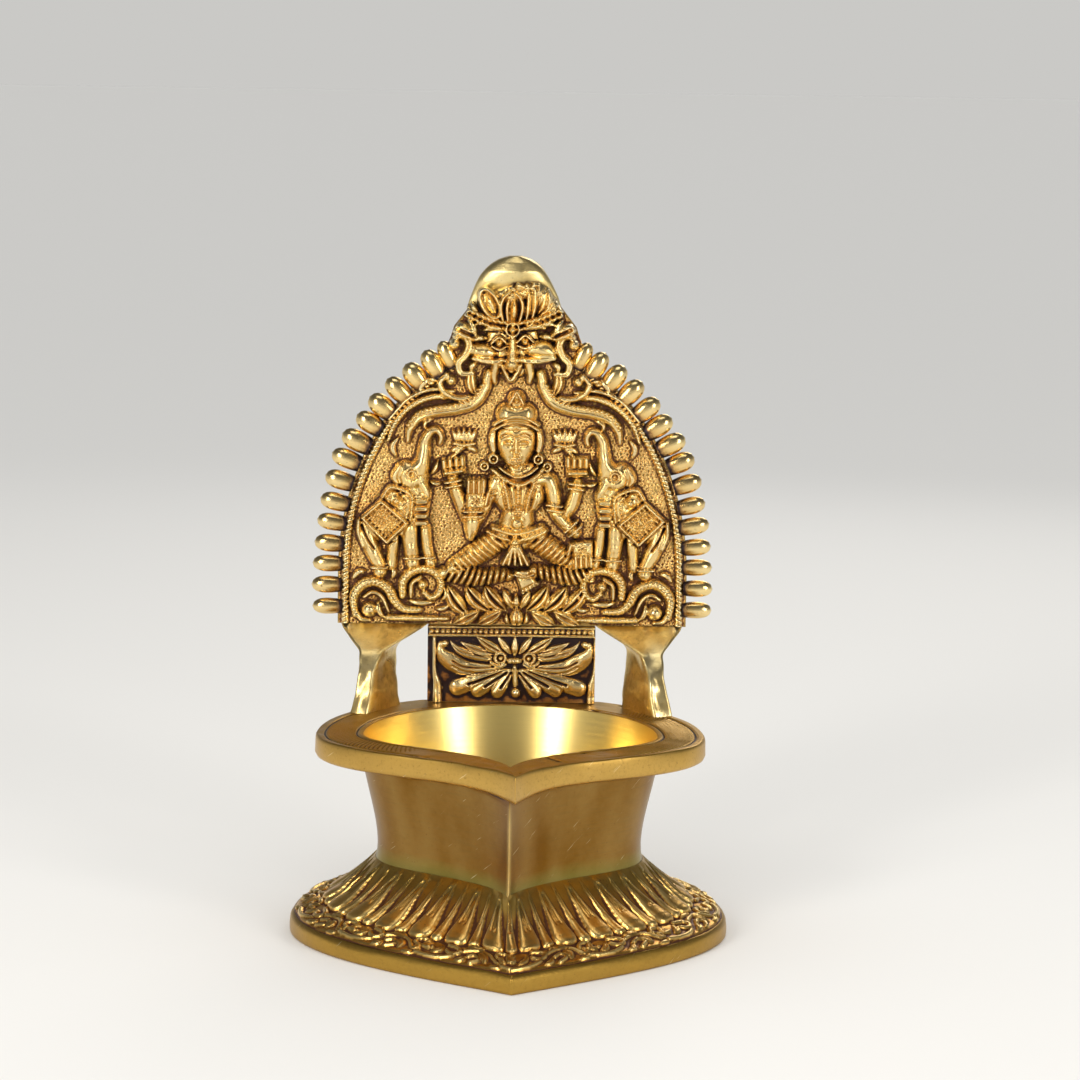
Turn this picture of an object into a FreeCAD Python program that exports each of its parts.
import FreeCAD, Part
import math
import os

from FreeCAD import Placement, Rotation, Vector

# A cast brass kamakshi lamp: a petalled foot, a spade-shaped oil bowl whose spout points to -Y,
# and behind it an arch with relief, on two legs and a foot panel. Millimetres, +Z up. The origin
# lies under the middle of the lamp's box. The round part of foot, bowl and rim has its centre
# a little behind the origin, because the spout reaches further forward than the back does.

os.makedirs("parts", exist_ok=True)
doc = FreeCAD.newDocument("kamakshi_lamp")
sheet = doc.addObject("Spreadsheet::Sheet", "sizes")

# alias, value in millimetres, what it is
SIZES = [
    ("foot_half_width", 49.4, "foot, half its width over the lip"),
    ("foot_reach", 53.0, "foot, from the round centre to the front point"),
    ("lip_height", 3.3, "foot, upright edge of the lip"),
    ("lip_top_height", 4.3, "foot, top of the lip"),
    ("lip_slope", 1.1, "foot, how far the lip's top edge lies inside its outline"),
    ("vine_band", 6.4, "foot, width of the carved band between lip and petals"),
    ("petal_foot_height", 6.4, "foot, height of the skirt at the petals' tips"),
    ("neck_height", 15.5, "where the bowl is brazed to the foot"),
    ("neck_inset", 18.6, "from the foot's side in to the bowl's lower end"),
    ("neck_nose_inset", 16.5, "from the foot's front point in to the bowl's lower end"),
    ("waist_height", 21.0, "narrowest level of the bowl"),
    ("waist_inset", 1.0, "how far the waist lies inside the lower end, at the side"),
    ("waist_nose_inset", 1.3, "how far the waist lies inside the lower end, at the front"),
    ("bowl_half_width", 33.8, "bowl under the rim, half its width"),
    ("bowl_reach", 39.5, "bowl under the rim, to its front ridge"),
    ("skirt_wall", 3.0, "wall of the hollow foot"),
    ("rim_top", 45.2, "height of the rim's upper face"),
    ("rim_thickness", 5.0, "thickness of the rim plate"),
    ("rim_half_width", 43.8, "rim, half its width"),
    ("rim_reach", 44.4, "rim, from the round centre to the spout's tip"),
    ("cup_half_width", 33.0, "cup at the rim, half its width"),
    ("cup_reach", 34.5, "cup at the rim, to its front point"),
    ("cup_depth", 21.5, "cup, from the rim down to its floor"),
    ("cup_wall", 2.2, "from the bowl's waist in to the cup's floor, at the side"),
    ("cup_nose_wall", 6.7, "from the bowl's waist in to the cup's floor, at the front"),
    ("floor_thickness", 3.0, "floor between the cup and the hollow below"),
    ("neck_wall", 3.6, "wall round the hollow below the cup's floor"),
    ("plate_front", 35.5, "front face of the arch plate, behind the round centre"),
    ("plate_thickness", 3.0, "thickness of the arch plate"),
    ("arch_foot", 63.7, "height of the arch plate's lower edge"),
    ("arch_spring", 76.0, "height where the arch starts to curve in"),
    ("arch_half_width", 39.0, "arch, from the middle to the beaded border's line"),
    ("border_width", 1.9, "width of the beaded border"),
    ("border_height", 1.2, "how far the beaded border stands off the plate"),
    ("plate_margin", 1.8, "plate outside the border's line"),
    ("shoulder_half_width", 17.0, "where the arch's curve ends below the finial"),
    ("throat_half_width", 14.2, "half width of the plate beside the lion mask"),
    ("throat_drop", 4.9, "from the finial down to the plate's corner beside the lion mask"),
    ("crown_half_width", 10.4, "half width of the finial"),
    ("crown_rise", 11.0, "from the top of the border's oval up to the finial's lower edge"),
    ("finial_height", 11.5, "height of the finial"),
    ("lamp_height", 150.0, "height of the whole lamp"),
    ("crown_front", 3.4, "how far the finial stands off the plate"),
    ("lobe_length", 6.2, "length of one lobe of the fringe"),
    ("lobe_width", 3.7, "largest width of one lobe"),
    ("lobe_first_height", 67.6, "height of the lowest lobe"),
    ("lobe_inset", 0.4, "how far a lobe is let into the plate's edge"),
    ("panel_half_width", 19.5, "half width of the foot panel"),
    ("rail_height", 1.7, "height of the beaded rail's section"),
    ("rail_front", 1.5, "how far the beaded rail stands off the panel"),
    ("rail_drop", 2.4, "from the arch's lower edge down to the rail's lower edge"),
    ("trim_reach", 200.0, "reach of the blocks that trim relief flush"),
    ("seat_front", 2.4, "how far the lotus seat stands off the plate"),
    ("crest_front", 4.3, "how far these petals stand off the plate"),
    ("palmette_front", 1.5, "how far the palmette stands off the panel"),
]
LOBES = 15
PETALS = 26

for row, (alias, value, note) in enumerate(SIZES, start=1):
    sheet.set(f"A{row}", note)
    sheet.set(f"B{row}", str(value))
    sheet.setAlias(f"B{row}", alias)
doc.recompute()


def size(alias):
    return float(sheet.get(alias))


def bind(thing, where, formula):
    """Ties one property of an object to the sheet; $name in the formula is a cell's alias."""
    thing.setExpression(where, formula.replace("$", "sizes."))


# the round centre of foot, bowl and rim, and the depths that the arch is set out from
centre_y = (size("foot_reach") - size("foot_half_width")) / 2
front_y = centre_y + size("plate_front")
back_y = front_y + size("plate_thickness")
rim_low = size("rim_top") - size("rim_thickness")
cup_floor = size("rim_top") - size("cup_depth")
neck_half_width = size("foot_half_width") - size("neck_inset")
neck_reach = size("foot_reach") - size("neck_nose_inset")
waist_half_width = neck_half_width - size("waist_inset")
waist_reach = neck_reach - size("waist_nose_inset")
cup_floor_half_width = waist_half_width - size("cup_wall")
cup_floor_reach = waist_reach - size("cup_nose_wall")
crown_height = size("lamp_height") - size("finial_height")
arch_rise = crown_height - size("crown_rise") - size("arch_spring")

# The relief fits the field under the finial: its unit is half the arch's width, or less where
# the field is low. The figures' own units and places are shares of it.
FIELD_SHARE = 0.5214
relief_unit = min(size("arch_half_width"), FIELD_SHARE * (crown_height - size("arch_foot")))
SEAT_HEIGHT_SHARE, FIGURE_HEAD_SHARE, LOTUS_HEIGHT_SHARE = 0.2385, 0.2564, 0.1282
ELEPHANT_HEAD_SHARE, ELEPHANT_STAND_SHARE, SCROLL_WIDTH_SHARE = 0.2051, 0.3026, 0.1026
MAKARA_WIDTH_SHARE, MAKARA_DROP_SHARE = 0.1026, 0.9872
MASK_CHEEK_SHARE, MASK_DROP_SHARE = 0.1026, 0.4231
CREST_HEIGHT_SHARE, CREST_DROP_SHARE = 0.2103, 0.0949
PALMETTE_LEAF_SHARE = 0.615
seat_height = SEAT_HEIGHT_SHARE * relief_unit
seat_top = size("arch_foot") + seat_height
figure_head = FIGURE_HEAD_SHARE * relief_unit
lotus_height = LOTUS_HEIGHT_SHARE * relief_unit

# spade outlines: how far the side runs on, and where the nose's handle lies, as shares of the
# half width
RIM_SHARES = (0.55, 0.23, 0.55)
CUP_SHARES = (0.48, 0.18, 0.47)
BOWL_SHARES = (0.52, 0.26, 0.58)
FOOT_SHARES = (0.50, 0.40, 0.81)


def spade_edges(half_width, reach, shares, z=0.0):
    """Half circle at the back and two curves that meet in a point at the front."""
    side_share, nose_out_share, nose_back_share = shares
    left, right = Vector(-half_width, centre_y, z), Vector(half_width, centre_y, z)
    back = Vector(0, centre_y + half_width, z)
    tip = Vector(0, centre_y - reach, z)
    curves = []
    for side, start in ((1, right), (-1, left)):
        poles = [
            start,
            Vector(side * half_width, centre_y - side_share * half_width, z),
            Vector(side * nose_out_share * half_width, centre_y - nose_back_share * half_width, z),
            tip,
        ]
        if side < 0:
            poles.reverse()
        curve = Part.BezierCurve()
        curve.setPoles(poles)
        curves.append(curve.toBSpline())
    return [Part.Arc(left, back, right), curves[0], curves[1]]


def spade_wire(half_width, reach, shares, z):
    """The outline as one wire that starts and ends at the front point."""
    arc, right, left = [edge.toShape() for edge in spade_edges(half_width, reach, shares, z)]
    return Part.Wire([left, arc, right])


def cup_section(z):
    """Half width and reach of the cup's tapered wall at a height."""
    share = (z - cup_floor) / size("cup_depth")
    half_width = cup_floor_half_width + (size("cup_half_width") - cup_floor_half_width) * share
    reach = cup_floor_reach + (size("cup_reach") - cup_floor_reach) * share
    return half_width, reach


def origin_plane(body, role):
    return next(f for f in body.Origin.OriginFeatures if f.Role == role)


def new_body(label):
    body = doc.addObject("PartDesign::Body", label)
    body.Label = label
    return body


def new_sketch(body, name, role, geometry, offset_formula=None):
    """A sketch on one of the body's own planes, at an offset tied to the sheet."""
    sketch = body.newObject("Sketcher::SketchObject", name)
    sketch.AttachmentSupport = [(origin_plane(body, role), "")]
    sketch.MapMode = "FlatFace"
    if offset_formula:
        bind(sketch, "AttachmentOffset.Base.z", offset_formula)
    sketch.addGeometry(list(geometry), False)
    return sketch


def loft_feature(body, kind, name, sketches, ruled=True):
    loft = body.newObject(kind, name)
    loft.Profile = sketches[0]
    loft.Sections = sketches[1:]
    loft.Ruled = ruled
    doc.recompute()
    return loft


def spade_loft(body, kind, name, levels, ruled=True):
    """A loft through spade outlines; each level is (half width, reach, shares, height formula)."""
    sketches = []
    for number, (half_width, reach, shares, formula) in enumerate(levels, start=1):
        geometry = spade_edges(half_width, reach, shares)
        sketches.append(new_sketch(body, f"{name}_section_{number}", "XY_Plane", geometry, formula))
    return loft_feature(body, kind, name, sketches, ruled)


def shaped(label, shape):
    """A piece whose shape comes from Part's own functions."""
    feature = doc.addObject("Part::Feature", label)
    feature.Shape = shape
    feature.Placement = Placement()
    feature.Label = label
    return feature


SLIVER_SHARE = 0.02


def without_slivers(shape):
    """A shape's solids without those that are a tiny share of the largest one."""
    least = SLIVER_SHARE * max(solid.Volume for solid in shape.Solids)
    kept = [solid for solid in shape.Solids if solid.Volume > least]
    return Part.makeCompound(kept) if len(kept) > 1 else kept[0]


# The foot: an upright lip, a carved band, and a skirt that rises to the neck. It is hollow.

lip_half_width = size("foot_half_width") - size("lip_slope")
tip_half_width = lip_half_width - size("vine_band")
foot_reach_share = size("foot_reach") / size("foot_half_width")
hollow_half_width = neck_half_width - size("neck_wall")
hollow_reach = hollow_half_width * neck_reach / neck_half_width


def make_foot_skirt():
    body = new_body("foot_skirt")

    def foot_level(half_width, formula):
        return half_width, half_width * foot_reach_share, FOOT_SHARES, formula

    outside = [
        foot_level(size("foot_half_width"), None),
        foot_level(size("foot_half_width"), "$lip_height"),
        foot_level(lip_half_width, "$lip_top_height"),
        foot_level(tip_half_width, "$petal_foot_height"),
        (neck_half_width, neck_reach, BOWL_SHARES, "$neck_height"),
    ]
    spade_loft(body, "PartDesign::AdditiveLoft", "skirt", outside)
    inside = [
        foot_level(size("foot_half_width") - size("skirt_wall"), None),
        foot_level(tip_half_width - size("skirt_wall"), "$lip_height"),
        (hollow_half_width, hollow_reach, BOWL_SHARES, "$neck_height"),
    ]
    spade_loft(body, "PartDesign::SubtractiveLoft", "hollow", inside)
    return body


# petals of the foot: half widths as shares of the pitch between two broad petals
BROAD_ROOT_SHARE, BROAD_TIP_SHARE = 0.27, 0.32
NARROW_ROOT_SHARE, NARROW_TIP_SHARE = 0.13, 0.15
PETAL_RISE_SHARE, PETAL_TOP_SHARE, PETAL_SINK_SHARE = 0.17, 0.6, 0.2
NARROW_LENGTH_SHARE, PETAL_START_SHARE = 0.97, 0.06
# the rounded end of a petal, in shares of its half width: how far it starts before the tip, and
# its corner's distance from the tip and from the middle
ROUND_START_SHARE, CORNER_BACK_SHARE, CORNER_OUT_SHARE = 1.2, 0.35, 0.7


def petal_block(root, frame, length, root_half, tip_half, rise, sink):
    """One petal with planar sides: its upper outline is the lower one drawn in to its middle."""
    along, across, out = frame
    right = [(0, root_half), (length - ROUND_START_SHARE * tip_half, tip_half),
             (length - CORNER_BACK_SHARE * tip_half, CORNER_OUT_SHARE * tip_half)]
    left = [(forward, -sideways) for forward, sideways in reversed(right)]
    middle = root + along * (length / 2)
    wires = []
    for lift, share in ((-sink, 1.0), (rise, PETAL_TOP_SHARE)):
        points = []
        for forward, sideways in right + [(length, 0.0)] + left:
            from_middle = along * (forward - length / 2) + across * sideways
            points.append(middle + out * lift + from_middle * share)
        wires.append(Part.makePolygon(points + points[:1]))
    return Part.makeLoft(wires, True, True)


def make_foot_petals(skirt):
    """Narrow petals and broad ones in turn, from a narrow one on the front ridge."""
    tips = spade_wire(tip_half_width, tip_half_width * foot_reach_share, FOOT_SHARES,
                      size("petal_foot_height"))
    roots = spade_wire(neck_half_width, neck_reach, BOWL_SHARES, size("neck_height"))
    count = 2 * PETALS
    tip_points = tips.discretize(Number=count + 1)[:-1]
    root_points = roots.discretize(Number=count + 1)[:-1]
    tip_pitch = tips.Length / PETALS
    root_pitch = roots.Length / PETALS
    petals = []
    for number in range(count):
        tip, root = tip_points[number], root_points[number]
        along = tip - root
        length = along.Length
        along.normalize()
        out = (tip_points[(number + 1) % count] - tip_points[number - 1]).cross(along)
        out.normalize()
        if out.z < 0:
            out = out * -1.0
        frame = along, along.cross(out), out
        broad = number % 2 == 1
        root_half = root_pitch * (BROAD_ROOT_SHARE if broad else NARROW_ROOT_SHARE)
        tip_half = tip_pitch * (BROAD_TIP_SHARE if broad else NARROW_TIP_SHARE)
        reach = length * ((1.0 if broad else NARROW_LENGTH_SHARE) - PETAL_START_SHARE)
        start = root + along * (length * PETAL_START_SHARE)
        block = petal_block(start, frame, reach, root_half, tip_half,
                            tip_pitch * PETAL_RISE_SHARE, tip_pitch * PETAL_SINK_SHARE)
        petals.append(max(block.cut(skirt.Shape).Solids, key=lambda solid: solid.Volume))
    return shaped("foot_petals", Part.makeCompound(petals))


# The bowl: a waisted body with a sharp front ridge, the cup in it, and the flat rim on top.

def make_bowl_body():
    body = new_body("bowl_body")
    outside = [
        (neck_half_width, neck_reach, BOWL_SHARES, "$neck_height"),
        (waist_half_width, waist_reach, BOWL_SHARES, "$waist_height"),
        (size("bowl_half_width"), size("bowl_reach"), BOWL_SHARES, "$rim_top - $rim_thickness"),
    ]
    spade_loft(body, "PartDesign::AdditiveLoft", "outside", outside, ruled=False)
    cavity = [
        (*cup_section(cup_floor), CUP_SHARES, "$rim_top - $cup_depth"),
        (*cup_section(rim_low), CUP_SHARES, "$rim_top - $rim_thickness"),
    ]
    spade_loft(body, "PartDesign::SubtractiveLoft", "cavity", cavity)
    below = [
        (hollow_half_width, hollow_reach, BOWL_SHARES, "$neck_height"),
        (hollow_half_width, hollow_reach, BOWL_SHARES, "$rim_top - $cup_depth - $floor_thickness"),
    ]
    spade_loft(body, "PartDesign::SubtractiveLoft", "below", below)
    return body


def rim_outline():
    """The rim's spade with its back cut flat in line with the back of the arch."""
    half_width = size("rim_half_width")
    flat_back = min(size("plate_front") + size("plate_thickness"), half_width)
    half_flat = math.sqrt(half_width ** 2 - flat_back ** 2)
    right, left = spade_edges(half_width, size("rim_reach"), RIM_SHARES)[1:]
    turn = math.atan2(flat_back, half_flat)
    edges = [right, left]
    for side in (1, -1):
        start = Vector(side * half_width, centre_y, 0)
        middle = Vector(side * half_width * math.cos(turn / 2),
                        centre_y + half_width * math.sin(turn / 2), 0)
        edges.append(Part.Arc(start, middle, Vector(side * half_flat, centre_y + flat_back, 0)))
    corner = Vector(half_flat, centre_y + flat_back, 0)
    edges.append(Part.LineSegment(corner, Vector(-corner.x, corner.y, 0)))
    return edges


def make_bowl_rim():
    body = new_body("bowl_rim")
    outline = new_sketch(body, "rim_outline", "XY_Plane", rim_outline(), "$rim_top - $rim_thickness")
    pad = body.newObject("PartDesign::Pad", "rim_plate")
    pad.Profile = outline
    bind(pad, "Length", "$rim_thickness")
    doc.recompute()
    mouth = [
        (*cup_section(rim_low), CUP_SHARES, "$rim_top - $rim_thickness"),
        (*cup_section(size("rim_top")), CUP_SHARES, "$rim_top"),
    ]
    spade_loft(body, "PartDesign::SubtractiveLoft", "mouth", mouth)
    return body


# The legs: deep slabs that stand on the rim beside the cup and spread into brackets under the
# arch. For each level, its height as a share of the run from rim to arch, then its front outer,
# front inner, back inner and back outer corners: x as shares of the rim's half width, y as shares
# of the plate's distance behind the round centre.

LEG_HEIGHT_SHARES = (0.0, 0.49, 0.72, 0.84)
LEG_X_SHARES = ((0.86, 0.756, 0.587, 0.646), (0.81, 0.728, 0.607, 0.708),
                (0.808, 0.683, 0.607, 0.753), (0.88, 0.55, 0.55, 0.88))
LEG_Y_SHARES = ((0.62, 0.58, 0.907, 0.941), (0.69, 0.67, 0.958, 1.0),
                (0.775, 0.76, 1.014, 1.084), (0.875, 0.875, 1.084, 1.084))


def make_leg(label, side):
    """A loft through corner outlines from the rim up to the arch's lower edge."""
    run = size("arch_foot") - size("rim_top")
    plate_back = size("plate_front") + size("plate_thickness")
    levels = []
    for height_share, x_shares, y_shares in zip(LEG_HEIGHT_SHARES, LEG_X_SHARES, LEG_Y_SHARES):
        corners = [(x * size("rim_half_width"), min(y * size("plate_front"), plate_back))
                   for x, y in zip(x_shares, y_shares)]
        levels.append((size("rim_top") + run * height_share, corners))
    outer = size("arch_half_width") + size("border_width") / 2
    inner = size("panel_half_width")
    levels.append((size("arch_foot"), [(outer, size("plate_front")), (inner, size("plate_front")),
                                       (inner, plate_back), (outer, plate_back)]))
    outlines = []
    for z, corners in levels:
        points = [Vector(side * x, centre_y + y, z) for x, y in corners]
        outlines.append(Part.makePolygon(points + points[:1]))
    return shaped(label, Part.makeLoft(outlines, True, True))


# The arch: plate, beaded border, fringe of lobes, foot panel and rail.

def oval(offset):
    """The arch's oval, moved outward by an offset."""
    wide = size("arch_half_width") + offset
    tall = arch_rise + offset
    centre = Vector(0, size("arch_spring"), 0)
    return centre, wide, tall


def oval_arc(offset, side, end_x):
    """The arch's curve on one side, from the spring up to a distance from the middle."""
    centre, wide, tall = oval(offset)
    end = math.acos(min(end_x / wide, 1.0))
    if tall >= wide:
        ellipse = Part.Ellipse(centre + Vector(0, tall, 0), centre + Vector(-wide, 0, 0), centre)
        quarter = math.pi / 2
        if side > 0:
            return Part.ArcOfEllipse(ellipse, -quarter, end - quarter)
        return Part.ArcOfEllipse(ellipse, quarter - end, quarter)
    ellipse = Part.Ellipse(centre + Vector(wide, 0, 0), centre + Vector(0, tall, 0), centre)
    if side > 0:
        return Part.ArcOfEllipse(ellipse, 0.0, end)
    return Part.ArcOfEllipse(ellipse, math.pi - end, math.pi)


def oval_point(offset, end_x):
    centre, wide, tall = oval(offset)
    return Vector(end_x, centre.y + tall * math.sqrt(max(1 - (end_x / wide) ** 2, 0.0)), 0)


def mirrored(point):
    return Vector(-point.x, point.y, point.z)


def back_formula():
    """Depth of the plate's back face, as an offset along the drawing plane's normal."""
    return "-(($foot_reach - $foot_half_width) / 2 + $plate_front + $plate_thickness)"


def front_formula():
    return "-(($foot_reach - $foot_half_width) / 2 + $plate_front)"


def plate_pad(body, name, geometry, length_formula, offset_formula):
    """Pads an upright outline towards the front."""
    sketch = new_sketch(body, name, "XZ_Plane", geometry, offset_formula)
    pad = body.newObject("PartDesign::Pad", name + "_pad")
    pad.Profile = sketch
    bind(pad, "Length", length_formula)
    doc.recompute()
    return body


def make_arch_plate():
    body = new_body("arch_plate")
    margin = size("plate_margin")
    edge_x = size("arch_half_width") + margin
    low, spring = Vector(edge_x, size("arch_foot"), 0), Vector(edge_x, size("arch_spring"), 0)
    shoulder = oval_point(margin, size("shoulder_half_width"))
    throat = Vector(size("throat_half_width"), crown_height - size("throat_drop"), 0)
    crown = Vector(size("crown_half_width"), crown_height, 0)
    geometry = [
        Part.LineSegment(mirrored(low), low),
        Part.LineSegment(low, spring),
        oval_arc(margin, 1, size("shoulder_half_width")),
        Part.LineSegment(shoulder, throat),
        Part.LineSegment(throat, crown),
        Part.LineSegment(crown, mirrored(crown)),
        Part.LineSegment(mirrored(crown), mirrored(throat)),
        Part.LineSegment(mirrored(throat), mirrored(shoulder)),
        oval_arc(margin, -1, size("shoulder_half_width")),
        Part.LineSegment(mirrored(spring), mirrored(low)),
    ]
    return plate_pad(body, "plate_outline", geometry, "$plate_thickness", back_formula())


def border_side(side):
    """Outline of the border's strip on one side of the arch."""
    half = size("border_width") / 2
    end_x = size("shoulder_half_width")
    low_out = Vector(side * (size("arch_half_width") + half), size("arch_foot"), 0)
    low_in = Vector(side * (size("arch_half_width") - half), size("arch_foot"), 0)
    top_out, top_in = oval_point(half, end_x), oval_point(-half, end_x)
    if side < 0:
        top_out, top_in = mirrored(top_out), mirrored(top_in)
    spring_out = Vector(low_out.x, size("arch_spring"), 0)
    spring_in = Vector(low_in.x, size("arch_spring"), 0)
    return [
        Part.LineSegment(low_in, low_out),
        Part.LineSegment(low_out, spring_out),
        oval_arc(half, side, end_x),
        Part.LineSegment(top_out, top_in),
        oval_arc(-half, side, end_x),
        Part.LineSegment(spring_in, low_in),
    ]


def make_border():
    """The beaded border: a raised strip along the arch's two sides."""
    body = new_body("arch_border")
    geometry = border_side(1) + border_side(-1)
    return plate_pad(body, "border_outline", geometry, "$border_height", front_formula())


def rectangle(x_low, z_low, x_high, z_high):
    corners = [Vector(x_low, z_low, 0), Vector(x_high, z_low, 0),
               Vector(x_high, z_high, 0), Vector(x_low, z_high, 0)]
    return [Part.LineSegment(a, b) for a, b in zip(corners, corners[1:] + corners[:1])]


def make_foot_panel():
    body = new_body("foot_panel")
    half = size("panel_half_width")
    outline = rectangle(-half, size("rim_top"), half, size("arch_foot"))
    return plate_pad(body, "panel_outline", outline, "$plate_thickness", back_formula())


def make_rail():
    body = new_body("beaded_rail")
    half = size("panel_half_width")
    low = size("arch_foot") - size("rail_drop")
    outline = rectangle(-half, low, half, low + size("rail_height"))
    return plate_pad(body, "rail_outline", outline, "$rail_front", front_formula())


def arch_run(offset, end_x):
    """The arch's right side as one wire in the drawing plane, from its foot to the shoulder."""
    edge_x = size("arch_half_width") + offset
    straight = Part.makeLine(Vector(edge_x, size("arch_foot"), 0),
                             Vector(edge_x, size("arch_spring"), 0))
    return Part.Wire([straight, oval_arc(offset, 1, end_x).toShape()])


# a lobe's section along its axis: its middle lies nearer to the tip, and its ends stay blunt
LOBE_MIDDLE_SHARE, LOBE_END_SHARE = 0.58, 0.45
STEPS_PER_LOBE = 10
BAR_SIDES = 8


def faceted_bar(base, direction, rings):
    """A bar with flat facets about an axis; a ring is a distance along it and a radius."""
    turn = Rotation(Vector(0, 0, 1), direction)
    outlines = []
    for along, radius in rings:
        points = []
        for number in range(BAR_SIDES):
            angle = 2 * math.pi * number / BAR_SIDES
            across = Vector(radius * math.cos(angle), radius * math.sin(angle), along)
            points.append(base + turn.multVec(across))
        outlines.append(Part.makePolygon(points + points[:1]))
    return Part.makeLoft(outlines, True, True)


def lobe(base, direction):
    """A bar that swells towards its tip."""
    length, half = size("lobe_length"), size("lobe_width") / 2
    end = half * LOBE_END_SHARE
    rings = [(0, end), (length * LOBE_MIDDLE_SHARE, half), (length, end)]
    return faceted_bar(base, direction, rings)


def make_fringe(label, side, plate):
    """Lobes that point outward all along one side of the arch."""
    run = arch_run(size("plate_margin") - size("lobe_inset"), size("shoulder_half_width"))
    first = size("lobe_first_height") - size("arch_foot")
    pitch = (run.Length - first) / (LOBES - 1)
    steps = run.discretize(Number=STEPS_PER_LOBE * LOBES)
    step = run.Length / (len(steps) - 1)
    lobes = []
    for number in range(LOBES):
        index = min(round((first + pitch * number) / step), len(steps) - 2)
        forward = steps[index + 1] - steps[index]
        outward = Vector(side * forward.y, 0, -forward.x)
        outward.normalize()
        base = Vector(side * steps[index].x, (front_y + back_y) / 2, steps[index].y)
        lobes.append(lobe(base, outward).cut(plate.Shape))
    return shaped(label, Part.makeCompound(lobes))


# the finial's levels: shares of its height, of its half width and of its depth
CROWN_LEVELS = ((0.0, 1.0, 1.0), (0.3, 0.95, 1.0), (0.52, 0.84, 0.94), (0.72, 0.66, 0.84),
                (0.88, 0.44, 0.66), (1.0, 0.16, 0.4))
CROWN_SIDES, CROWN_EDGE_SHARE = 8, 0.3


def make_finial():
    """A filed dome above the plate's upper edge: flat behind, with soft planes in front."""
    depth = size("plate_thickness") + size("crown_front")
    outlines = []
    for height_share, width_share, depth_share in CROWN_LEVELS:
        half = width_share * size("crown_half_width")
        z = crown_height + height_share * size("finial_height")
        points = [Vector(half, back_y, z)]
        for number in range(CROWN_SIDES + 1):
            turn = math.pi * number / CROWN_SIDES
            out = CROWN_EDGE_SHARE + (1 - CROWN_EDGE_SHARE) * math.sin(turn)
            points.append(Vector(half * math.cos(turn), back_y - depth * depth_share * out, z))
        points.append(Vector(-half, back_y, z))
        outlines.append(Part.makePolygon(points + points[:1]))
    return Part.makeLoft(outlines, True, True)


# Relief. A figure is set out in shares of its own unit, from its own origin on the plate's face.
# A row of shares is x, z, half width and rise off the face.

class Carving:
    """Makes the forms of one figure; side -1 mirrors them to the left."""

    def __init__(self, unit, x, z, side=1):
        self.unit, self.x, self.z, self.side = unit, x, z, side

    def point(self, x_share, z_share, rise_share=0.0):
        return Vector(self.x + self.side * x_share * self.unit, front_y - rise_share * self.unit,
                      self.z + z_share * self.unit)

    def ball_at(self, row):
        """Centre and radius of the ball that shows the row's half width and rise at the face."""
        x_share, z_share, half_share, rise_share = row
        radius_share = half_share
        if rise_share < half_share:
            radius_share = (half_share ** 2 + rise_share ** 2) / (2 * rise_share)
        centre = self.point(x_share, z_share, rise_share - radius_share)
        return centre, radius_share * self.unit

    def ball(self, row):
        """A faceted ball, from its back to the front."""
        centre, radius = self.ball_at(row)
        turns = [math.radians(degrees) for degrees in BALL_RING_ANGLES]
        rings = [(radius * math.cos(turn), radius * math.sin(turn)) for turn in turns]
        return faceted_bar(centre, Vector(0, -1, 0), rings)

    def limb(self, rows):
        """Bars from row to row, with a ball at each bend between them."""
        solids = [self.ball(row) for row in rows[1:-1]]
        places = [self.ball_at(row) for row in rows]
        for (a, low_radius), (b, high_radius) in zip(places, places[1:]):
            run = b - a
            solids.append(faceted_bar(a, run, [(0, low_radius), (run.Length, high_radius)]))
        return solids

    def strip(self, rows):
        """A strip with sloping sides along a line of rows, mitred at its bends."""
        outlines = []
        for number, (x_share, z_share, half_share, rise_share) in enumerate(rows):
            before, after = rows[max(number - 1, 0)], rows[min(number + 1, len(rows) - 1)]
            turn = math.atan2(after[1] - before[1], after[0] - before[0]) + math.pi / 2
            points = []
            for out_share, rise in ((-1, 0), (-STRIP_TOP_SHARE, 1), (STRIP_TOP_SHARE, 1), (1, 0)):
                out = out_share * half_share
                points.append(self.point(x_share + out * math.cos(turn),
                                         z_share + out * math.sin(turn), rise * rise_share))
            outlines.append(Part.makePolygon(points + points[:1]))
        return Part.makeLoft(outlines, True, True)

    def leaf(self, x_share, z_share, degrees, length_share, half_share, rise_share):
        """A pointed leaf with planar sides that starts at a point and leans to an angle."""
        turn = math.radians(degrees)
        right = [(0, half_share * LEAF_ROOT_SHARE), (length_share * LEAF_WIDE_SHARE, half_share)]
        left = [(forward, -sideways) for forward, sideways in reversed(right)]
        outlines = []
        for rise, drawn_share in ((0.0, 1.0), (rise_share, LEAF_TOP_SHARE)):
            points = []
            for forward, sideways in right + [(length_share, 0.0)] + left:
                forward = length_share * LEAF_WIDE_SHARE * (1 - drawn_share) + forward * drawn_share
                sideways = sideways * drawn_share
                points.append(self.point(
                    x_share + forward * math.cos(turn) - sideways * math.sin(turn),
                    z_share + forward * math.sin(turn) + sideways * math.cos(turn), rise))
            outlines.append(Part.makePolygon(points + points[:1]))
        return Part.makeLoft(outlines, True, True)


BALL_RING_ANGLES = (140, 82, 36)
STRIP_TOP_SHARE = 0.45
LEAF_ROOT_SHARE, LEAF_WIDE_SHARE, LEAF_TOP_SHARE = 0.35, 0.6, 0.5


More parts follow.
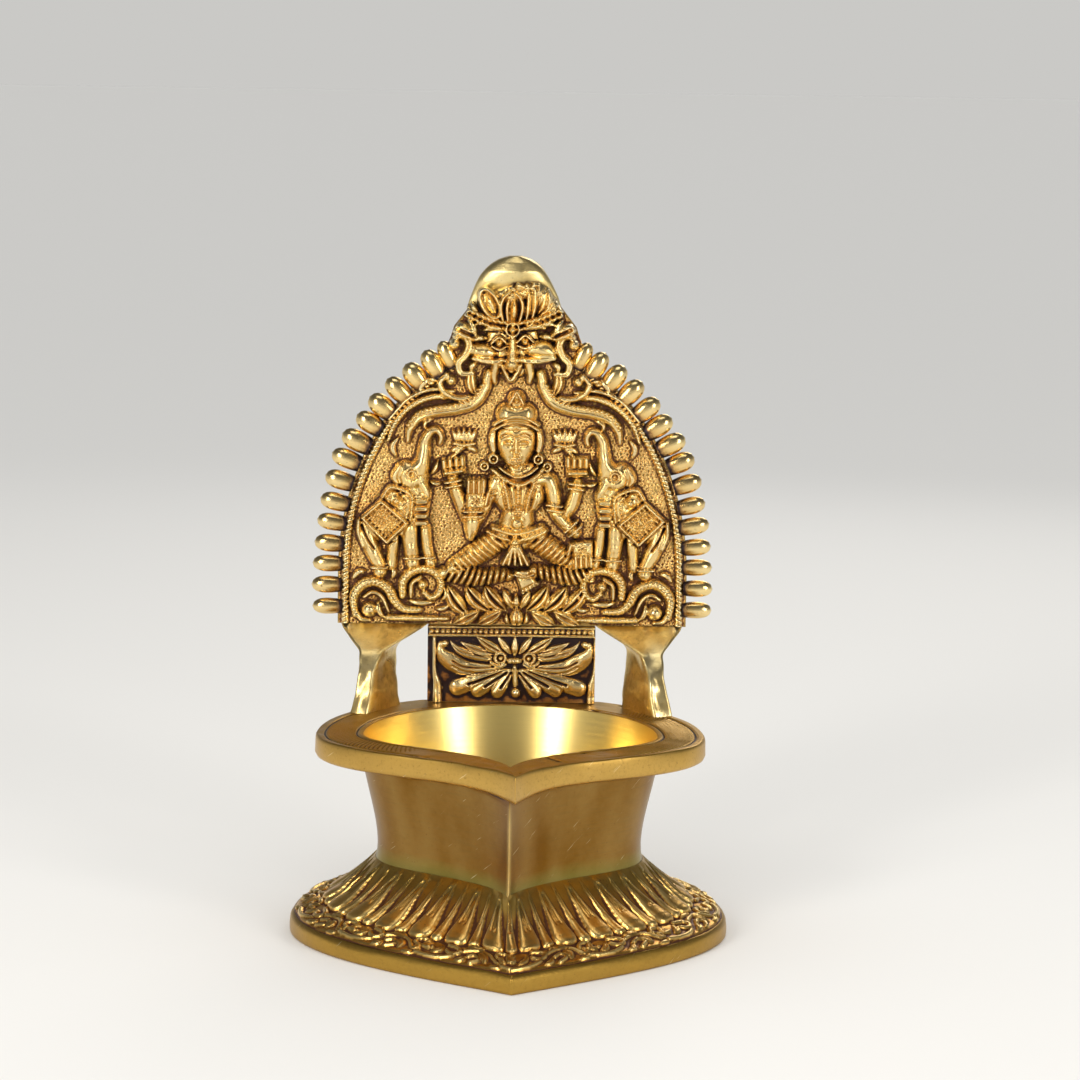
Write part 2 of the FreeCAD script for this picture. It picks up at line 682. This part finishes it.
def carve(label, forms, others):
    """Joins a figure's forms, trims them to the plate's face and clears the pieces beside it."""
    reach = size("trim_reach")
    block = Part.makeBox(2 * reach, reach, 2 * reach, Vector(-reach, front_y - reach, -reach))
    shape = forms[0].multiFuse(forms[1:]) if len(forms) > 1 else forms[0]
    shape = shape.common(block).removeSplitter()
    for other in others:
        if other.Shape.BoundBox.intersect(shape.BoundBox):
            shape = shape.cut(other.Shape)
    return shaped(label, without_slivers(shape))


# the seated figure: right and left are the viewer's, x from the middle, z from the seat
FIGURE_LIMB_SHARES = (
    ((0.0, 3.0, 0.2, 0.28), (0.05, 2.45, 0.26, 0.34)),
    ((0.07, 2.45, 0.55, 0.34), (0.06, 1.6, 0.38, 0.36)),
    ((-0.35, 1.25, 0.42, 0.36), (0.5, 1.25, 0.42, 0.36)),
    ((0.0, 3.7, 0.5, 0.38), (0.0, 4.3, 0.3, 0.3)),
    ((-0.5, 2.4, 0.22, 0.36), (-1.1, 1.2, 0.2, 0.36), (-0.97, 1.9, 0.16, 0.4)),
    ((-1.2, 1.8, 0.17, 0.24), (-1.39, 2.65, 0.17, 0.3)),
    ((0.65, 2.4, 0.22, 0.36), (0.87, 1.8, 0.2, 0.36), (1.45, 1.2, 0.17, 0.36)),
    ((1.15, 1.75, 0.17, 0.24), (1.42, 2.65, 0.17, 0.3)),
    ((-0.3, 1.3, 0.34, 0.36), (-1.4, 0.6, 0.28, 0.34), (-0.1, 0.3, 0.22, 0.36)),
    ((0.45, 1.3, 0.34, 0.36), (1.4, 0.6, 0.28, 0.34), (0.35, 0.4, 0.22, 0.36)),
    ((0.2, 0.45, 0.2, 0.36), (0.38, 0.03, 0.26, 0.4)),
)
FIGURE_BALL_SHARES = (
    (0.0, 3.37, 0.5, 0.42), (0.0, 4.42, 0.2, 0.3), (-0.9, 2.25, 0.3, 0.42),
    (-1.38, 2.85, 0.3, 0.32), (1.42, 2.85, 0.3, 0.32), (1.55, 0.85, 0.3, 0.36),
)
LOTUS_SHARES = ((-1.18, 3.15), (1.18, 3.15))
# an elephant in profile, its trunk raised towards the middle: x from the border, z from its feet
ELEPHANT_LIMB_SHARES = (
    ((-1.95, 2.75, 0.5, 0.4), (-1.2, 1.5, 0.72, 0.4)),
    ((-0.7, 1.4, 0.34, 0.36), (-0.95, 0.0, 0.24, 0.3)),
    ((-1.9, 1.6, 0.3, 0.36), (-1.88, 0.2, 0.24, 0.3)),
    ((-2.25, 1.5, 0.26, 0.32), (-2.35, 0.35, 0.2, 0.28)),
)
ELEPHANT_BALL_SHARES = ((-1.95, 2.91, 0.52, 0.42), (-1.0, 1.5, 0.7, 0.42))
TRUNK_SHARES = ((-2.05, 3.0, 0.3, 0.36), (-2.2, 3.7, 0.22, 0.32), (-2.32, 4.15, 0.19, 0.3),
                (-2.52, 4.33, 0.17, 0.28), (-2.7, 4.1, 0.14, 0.25))
TAIL_SHARES = ((-0.5, 1.5, 0.1, 0.2), (-0.45, 0.5, 0.1, 0.2))
EAR_SHARES = ((-1.7, 3.2, 0.16, 0.44), (-1.5, 2.85, 0.24, 0.48), (-1.65, 2.3, 0.12, 0.44))
CLOTH_SHARES = ((-1.75, 1.6, 0.1, 0.5), (-1.05, 1.6, 0.52, 0.54), (-0.5, 1.65, 0.08, 0.46))
# the scroll that an elephant stands on: x from the border, z from the arch's lower edge
SCROLL_ARM_SHARES = ((-1.1, 0.95, 0.4, 0.4), (-0.75, 1.6, 0.36, 0.4), (-0.85, 2.3, 0.34, 0.4),
                     (-1.5, 2.65, 0.32, 0.4), (-2.25, 2.2, 0.3, 0.4), (-3.0, 1.2, 0.28, 0.4))
SCROLL_BALL_SHARES = (-1.25, 0.9, 0.5, 0.5)
SCROLL_TURN_SHARES = (-4.25, 2.2, 0.85, 0.3)
SCROLL_STEPS, SCROLL_END_SHARE = 8, 0.45
# a scaly tail that runs down from the mask: x from the middle, z from the tails' lowest level
MAKARA_SHARES = ((1.6, 5.4, 0.36, 0.55), (2.0, 4.3, 0.45, 0.6), (3.0, 3.65, 0.45, 0.6),
                 (4.25, 3.5, 0.42, 0.6), (5.4, 3.25, 0.36, 0.55), (6.0, 2.5, 0.28, 0.45),
                 (6.1, 1.75, 0.15, 0.35))
MAKARA_CURL_SHARES = ((3.3, 3.9, 0.2, 0.5), (3.35, 4.6, 0.24, 0.55), (3.7, 5.05, 0.26, 0.55))
MAKARA_BALL_SHARES = (4.1, 4.8, 0.5, 0.5)
MAKARA_LEAF_SHARES = (2.1, 4.3, 66.0, 1.8, 0.36, 0.6)
# the lion mask: x from the middle, z from its chin
MASK_BALL_SHARES = ((-1.75, 1.75, 0.75, 0.6), (1.75, 1.75, 0.75, 0.6), (-0.8, 2.2, 0.42, 0.8),
                    (0.8, 2.2, 0.42, 0.8), (0.0, 3.05, 0.35, 0.8))
MASK_STRIP_SHARES = (
    ((0.0, 3.1, 1.5, 0.4), (0.0, 1.5, 1.9, 0.5), (0.0, 0.3, 1.0, 0.4)),
    ((0.0, 2.7, 0.2, 0.8), (0.0, 0.75, 0.36, 0.95)),
    ((-2.6, 3.75, 0.24, 0.5), (0.0, 3.1, 0.24, 0.55), (2.6, 3.75, 0.24, 0.5)),
    ((-2.4, 1.1, 0.24, 0.5), (2.4, 1.1, 0.24, 0.5)),
    ((0.0, 0.9, 0.5, 0.4), (0.0, -0.2, 0.2, 0.3)),
)
MASK_EAR_SHARES = ((1.9, 2.3, 24.0, 1.7, 0.5, 0.6), (-1.9, 2.3, 156.0, 1.7, 0.5, 0.6))
MASK_SIDE_SHARES = ((3.6, 1.75, 0.26, 0.45), (3.3, 2.15, 0.28, 0.5), (2.85, 1.75, 0.28, 0.5),
                    (3.0, 0.95, 0.3, 0.5), (2.6, 0.45, 0.28, 0.45), (1.9, 0.95, 0.2, 0.4))
# petals over the mask, in shares of their height: x, z, angle, length, half width, rise
CREST_SHARES = ((-0.62, 0.0, 104.0, 1.0, 0.32, 1.0), (-0.2, 0.0, 92.0, 1.0, 0.26, 1.0),
                (0.22, 0.0, 88.0, 1.0, 0.26, 1.0), (0.66, 0.0, 76.0, 0.98, 0.32, 1.0))
# leaves of the held lotuses, the seat and the palmette, in shares of the piece's own size
LOTUS_LEAVES = ((0.0, 0.0, 90.0, 1.0, 0.25, 0.5), (0.0, 0.0, 45.0, 0.85, 0.2, 0.4),
                (0.0, 0.0, 135.0, 0.85, 0.2, 0.4))
SEAT_UP_SHARES = (-1.5, -0.9, -0.3, 0.3, 0.9, 1.5)
SEAT_DOWN_SHARES = (-1.3, -0.65, 0.0, 0.65, 1.3)
SEAT_MIDDLE_SHARE, SEAT_LEAF_SHARE, SEAT_HALF_SHARE, SEAT_LEAN_SHARE = 0.42, 0.58, 0.26, 16.0
PALMETTE_MIDDLE_SHARE = 0.52
PALMETTE_LEAVES = (
    (0.0, 0.0, 90.0, 0.52, 0.16), (0.1, 0.05, 38.0, 0.72, 0.14), (-0.1, 0.05, 142.0, 0.72, 0.14),
    (0.25, 0.0, 14.0, 1.25, 0.24), (-0.25, 0.0, 166.0, 1.25, 0.24),
    (0.0, -0.05, -90.0, 0.62, 0.14), (0.1, -0.05, -55.0, 0.72, 0.14), (-0.1, -0.05, -125.0, 0.72, 0.14),
    (0.25, -0.1, -24.0, 1.2, 0.2), (-0.25, -0.1, -156.0, 1.2, 0.2),
)


def make_figure():
    carving = Carving(figure_head, 0, seat_top)
    forms = [carving.ball(row) for row in FIGURE_BALL_SHARES]
    for rows in FIGURE_LIMB_SHARES:
        forms += carving.limb(rows)
    return carve("seated_figure", forms, [])


def make_lotus(label, shares, others):
    """A lotus in one of the figure's raised hands."""
    x = shares[0] * figure_head
    z = seat_top + shares[1] * figure_head
    carving = Carving(lotus_height, x, z)
    return carve(label, [carving.leaf(*leaf) for leaf in LOTUS_LEAVES], others)


def make_seat(others):
    """Two rows of lotus petals under the figure: upright ones above, hanging ones below."""
    rise_share = size("seat_front") / seat_height
    carving = Carving(seat_height, 0, size("arch_foot"))
    forms = []
    for x_shares, up in ((SEAT_UP_SHARES, 1), (SEAT_DOWN_SHARES, -1)):
        for x_share in x_shares:
            degrees = up * (90.0 - SEAT_LEAN_SHARE * x_share)
            forms.append(carving.leaf(x_share, SEAT_MIDDLE_SHARE, degrees, up_length(up),
                                      SEAT_HALF_SHARE, rise_share))
    low = min(SEAT_UP_SHARES) - SEAT_HALF_SHARE
    high = max(SEAT_UP_SHARES) + SEAT_HALF_SHARE
    base = (low, SEAT_MIDDLE_SHARE, SEAT_HALF_SHARE / 2, rise_share)
    forms.append(carving.strip((base, (high, *base[1:]))))
    return carve("lotus_seat", forms, others)


def up_length(up):
    """Length of an upper or lower seat petal."""
    return SEAT_LEAF_SHARE if up > 0 else SEAT_MIDDLE_SHARE


def make_elephant(label, side, others):
    feet = size("arch_foot") + ELEPHANT_STAND_SHARE * relief_unit
    unit = ELEPHANT_HEAD_SHARE * relief_unit
    carving = Carving(unit, side * size("arch_half_width"), feet, side)
    forms = [carving.ball(row) for row in ELEPHANT_BALL_SHARES]
    for rows in ELEPHANT_LIMB_SHARES:
        forms += carving.limb(rows)
    for rows in (TRUNK_SHARES, TAIL_SHARES, EAR_SHARES, CLOTH_SHARES):
        forms.append(carving.strip(rows))
    return carve(label, forms, others)


def make_scroll(label, side, others):
    """A scroll of three forms: an inner spiral, an arm over to the border, and a ball."""
    unit = SCROLL_WIDTH_SHARE * relief_unit
    carving = Carving(unit, side * size("arch_half_width"), size("arch_foot"), side)
    x_share, z_share, radius_share, half_share = SCROLL_TURN_SHARES
    rows = []
    for step in range(SCROLL_STEPS):
        turn = 2 * math.pi * step / SCROLL_STEPS
        radius = radius_share * (1 - (1 - SCROLL_END_SHARE) * step / SCROLL_STEPS)
        rows.append((x_share + radius * math.cos(turn), z_share + radius * math.sin(turn),
                     half_share, half_share))
    forms = [carving.ball(SCROLL_BALL_SHARES), carving.strip(SCROLL_ARM_SHARES),
             carving.strip(rows), carving.ball((x_share, z_share, half_share, half_share))]
    forms.append(carving.strip((SCROLL_ARM_SHARES[-1], rows[0])))
    return carve(label, forms, others)


def make_makara(label, side, others):
    lowest = crown_height - MAKARA_DROP_SHARE * relief_unit
    carving = Carving(MAKARA_WIDTH_SHARE * relief_unit, 0, lowest, side)
    forms = [carving.strip(MAKARA_SHARES), carving.strip(MAKARA_CURL_SHARES),
             carving.ball(MAKARA_BALL_SHARES), carving.leaf(*MAKARA_LEAF_SHARES)]
    return carve(label, forms, others)


def make_mask(others):
    chin = crown_height - MASK_DROP_SHARE * relief_unit
    carving = Carving(MASK_CHEEK_SHARE * relief_unit, 0, chin)
    forms = [carving.ball(row) for row in MASK_BALL_SHARES]
    forms += [carving.strip(rows) for rows in MASK_STRIP_SHARES]
    forms += [carving.leaf(*leaf) for leaf in MASK_EAR_SHARES]
    for side in (1, -1):
        rows = [(side * row[0], *row[1:]) for row in MASK_SIDE_SHARES]
        forms.append(carving.strip(rows))
    return carve("lion_mask", forms, others)


def make_crest(others):
    height = CREST_HEIGHT_SHARE * relief_unit
    rise_share = size("crest_front") / height
    carving = Carving(height, 0, crown_height - CREST_DROP_SHARE * relief_unit)
    forms = [carving.leaf(*leaf[:5], leaf[5] * rise_share) for leaf in CREST_SHARES]
    return carve("lotus_crest", forms, others)


def make_palmette():
    """Leaves that fan up, down and out from a knot in the middle of the foot panel."""
    leaf_length = PALMETTE_LEAF_SHARE * size("panel_half_width")
    panel_height = size("arch_foot") - size("rail_drop") - size("rim_top")
    carving = Carving(leaf_length, 0, size("rim_top") + PALMETTE_MIDDLE_SHARE * panel_height)
    rise_share = size("palmette_front") / leaf_length
    forms = [carving.leaf(*leaf, rise_share) for leaf in PALMETTE_LEAVES]
    return carve("panel_palmette", forms, [])


skirt = make_foot_skirt()
petals = make_foot_petals(skirt)
bowl = make_bowl_body()
rim = make_bowl_rim()
legs = [make_leg("leg_left", -1), make_leg("leg_right", 1)]
plate = make_arch_plate()
border = make_border()
panel = make_foot_panel()
rail = make_rail()
fringe = [make_fringe("fringe_left", -1, plate), make_fringe("fringe_right", 1, plate)]
figure = make_figure()
lotuses = [make_lotus("lotus_left", LOTUS_SHARES[0], [figure]),
           make_lotus("lotus_right", LOTUS_SHARES[1], [figure])]
seat = make_seat([figure])
elephants = [make_elephant("elephant_left", -1, [border, figure, *lotuses]),
             make_elephant("elephant_right", 1, [border, figure, *lotuses])]
scrolls = [make_scroll("scroll_left", -1, [border, seat, *elephants]),
           make_scroll("scroll_right", 1, [border, seat, *elephants])]
mask = make_mask([border, figure])
crest = make_crest([mask])
makaras = [make_makara("makara_left", -1, [border, mask, figure, *elephants]),
           make_makara("makara_right", 1, [border, mask, figure, *elephants])]
finial = shaped("finial", make_finial().cut(crest.Shape))
palmette = make_palmette()

pieces = [skirt, petals, bowl, rim, *legs, plate, border, panel, rail, *fringe, figure, *lotuses,
          seat, *elephants, *scrolls, mask, crest, *makaras, finial, palmette]
doc.recompute()
for thing in doc.Objects:
    bad = [state for state in thing.State if state in ("Invalid", "Error")]
    if bad:
        raise RuntimeError(f"{thing.Label} is {bad}")
for piece in pieces:
    shape = piece.Shape
    if shape.isNull() or not shape.isValid():
        raise RuntimeError(f"{piece.Label} has no valid shape")
for piece in pieces:
    shape = piece.Shape
    print(f"{piece.Label:16} {len(shape.Solids):3} solids {shape.Volume:10.1f} mm3")
    shape.exportStep(f"parts/{piece.Label}.step")
